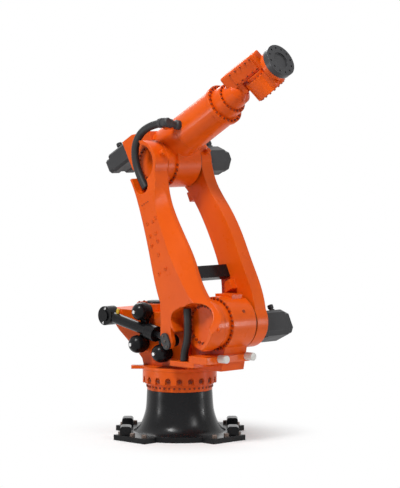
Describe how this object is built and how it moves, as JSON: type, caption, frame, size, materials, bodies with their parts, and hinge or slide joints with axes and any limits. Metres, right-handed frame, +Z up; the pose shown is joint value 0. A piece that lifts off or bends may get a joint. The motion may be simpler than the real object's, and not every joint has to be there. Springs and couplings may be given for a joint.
{
  "type": "industrial robot arm",
  "caption": "Heavy six-axis industrial robot arm with a twin-blade link, side balancing cylinder with gas bottles, in-line wrist and a round tool flange on a bell-shaped floor base.",
  "frame": {"origin": "on the floor under the turning axis, at the middle of the base", "axes": "+X forward, the way the arm reaches at rest, +Y to the robot's left, +Z up along the turning axis"},
  "size_m": [1.766, 1.1547, 2.9088],
  "materials": {
    "orange_paint": "gloss orange paint on castings",
    "black_paint": "black paint",
    "dark_motor": "dark grey paint",
    "dark_steel": "blackened steel",
    "white_buffer": "white elastomer",
    "hose_rubber": "black hose",
    "bright_steel": "bright valve plugs",
    "yellow_cap": "yellow plastic cap"
  },
  "bodies": {
    "base": {"base_frame": "black_paint", "transport_lugs": "black_paint"},
    "column": {"slewing_ring": "orange_paint", "column_ring": "orange_paint", "column_deck": "orange_paint", "column_body": "orange_paint", "shoulder_gear": "orange_paint", "shoulder_seal": "black_paint", "balance_pivot_pin": "black_paint", "turn_motor_collar": "orange_paint", "turn_motor": "dark_motor", "buffers": "white_buffer", "lower_hose": "hose_rubber"},
    "balance": {"balance_cylinder": "black_paint", "gas_bottle_upper": "black_paint", "gas_bottle_rear": "black_paint", "gas_bottle_lower": "black_paint", "gas_bottle_valves": "bright_steel", "balance_valve_cap": "yellow_cap"},
    "link": {"near_blade": "orange_paint", "far_blade": "orange_paint", "cross_beam": "black_paint", "ear_pin_cap": "dark_motor", "shoulder_motor": "dark_motor", "elbow_motor": "dark_motor", "upper_hose": "hose_rubber"},
    "forearm": {"elbow_body": "orange_paint", "elbow_gear": "orange_paint", "elbow_seal": "black_paint", "forearm_tube": "orange_paint", "forearm_front_ring": "orange_paint", "wrist_motor_near": "dark_motor", "wrist_motor_far": "dark_motor", "hose_clamp": "orange_paint"},
    "wrist": {"wrist_roll_ring": "orange_paint", "wrist_arm": "orange_paint", "wrist_covers": "orange_paint"},
    "hand": {"hand_body": "orange_paint", "hand_housing": "orange_paint"},
    "flange": {"tool_flange": "dark_steel"}
  },
  "joints": [
    {"name": "turn", "type": "hinge", "parent": "base", "child": "column", "pos_m": [0, 0, 0.35], "axis": [0, 0, 1], "range_deg": [-185, 185]},
    {"name": "shoulder", "type": "hinge", "parent": "column", "child": "link", "pos_m": [0.45, 0, 0.875], "axis": [0, 1, 0], "range_deg": [-13.5, 126.5], "deforming": ["lower_hose"]},
    {"name": "elbow", "type": "hinge", "parent": "link", "child": "forearm", "pos_m": [-0.10966, 0, 2.04836], "axis": [0, -1, 0], "range_deg": [-56, 188], "deforming": ["upper_hose"]},
    {"name": "wrist_roll", "type": "hinge", "parent": "forearm", "child": "wrist", "pos_m": [0.47097, 0, 2.48458], "axis": [0.8712, 0, 0.4909], "range_deg": [-350, 350]},
    {"name": "wrist_bend", "type": "hinge", "parent": "wrist", "child": "hand", "pos_m": [0.82817, 0, 2.68585], "axis": [-0.4251, -0.5, 0.7545], "range_deg": [-120, 120]},
    {"name": "flange_turn", "type": "hinge", "parent": "hand", "child": "flange", "pos_m": [0.99022, 0, 2.77716], "axis": [0.8712, 0, 0.4909], "range_deg": [-350, 350]},
    {"name": "balance_swing", "type": "hinge", "parent": "column", "child": "balance", "pos_m": [-0.52, 0, 0.884], "axis": [0, -1, 0], "range_deg": [-2.8, 25.4]}
  ],
  "couplings": [
    {"joint": "balance_swing", "follows": "shoulder", "ratio": 0.2}
  ]
}
